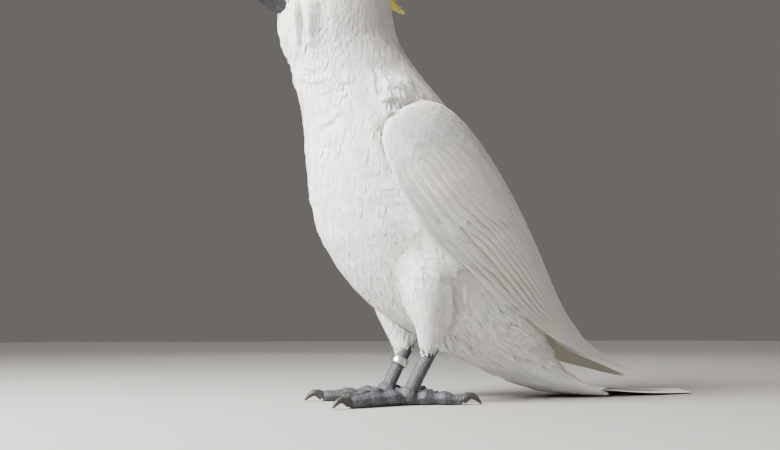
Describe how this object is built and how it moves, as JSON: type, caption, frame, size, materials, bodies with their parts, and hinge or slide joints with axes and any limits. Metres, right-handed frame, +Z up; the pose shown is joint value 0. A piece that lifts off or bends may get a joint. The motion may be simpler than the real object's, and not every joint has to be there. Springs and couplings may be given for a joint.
{
  "type": "sulphur-crested cockatoo",
  "caption": "Life-size sulphur-crested cockatoo standing at ease, white with a yellow crest, its tail laid on the floor.",
  "frame": {"origin": "on the floor, in the plane that halves the bird, a little behind its ankles", "axes": "-X the way the bird faces, +X towards its tail, +Z up, -Y its left side"},
  "size_m": [0.4108, 0.1176, 0.3763],
  "materials": {
    "plumage": "matt white contour feathers",
    "tail_plumage": "matt white quills, washed with yellow below",
    "crest_yellow": "matt sulphur-yellow plumes",
    "bill_horn": "dark grey horn with a powdery bloom",
    "eye_dark": "wet dark brown",
    "foot_skin": "dry scaly skin, slate grey",
    "claw_horn": "dark horn",
    "ring_metal": "plain bright metal band"
  },
  "bodies": {
    "root": {"head": "plumage", "neck": "plumage", "trunk": "plumage", "wing_left": "plumage", "wing_right": "plumage", "thigh_left": "plumage", "thigh_right": "plumage", "tail": "tail_plumage", "crest": "crest_yellow", "upper_bill": "bill_horn", "lower_bill": "bill_horn", "eye_left": "eye_dark", "eye_right": "eye_dark", "foot_left": "foot_skin", "foot_right": "foot_skin", "claw_left_outer_front": "claw_horn", "claw_left_inner_front": "claw_horn", "claw_left_outer_rear": "claw_horn", "claw_left_inner_rear": "claw_horn", "claw_right_outer_front": "claw_horn", "claw_right_inner_front": "claw_horn", "claw_right_outer_rear": "claw_horn", "claw_right_inner_rear": "claw_horn", "leg_ring": "ring_metal"}
  },
  "joints": []
}
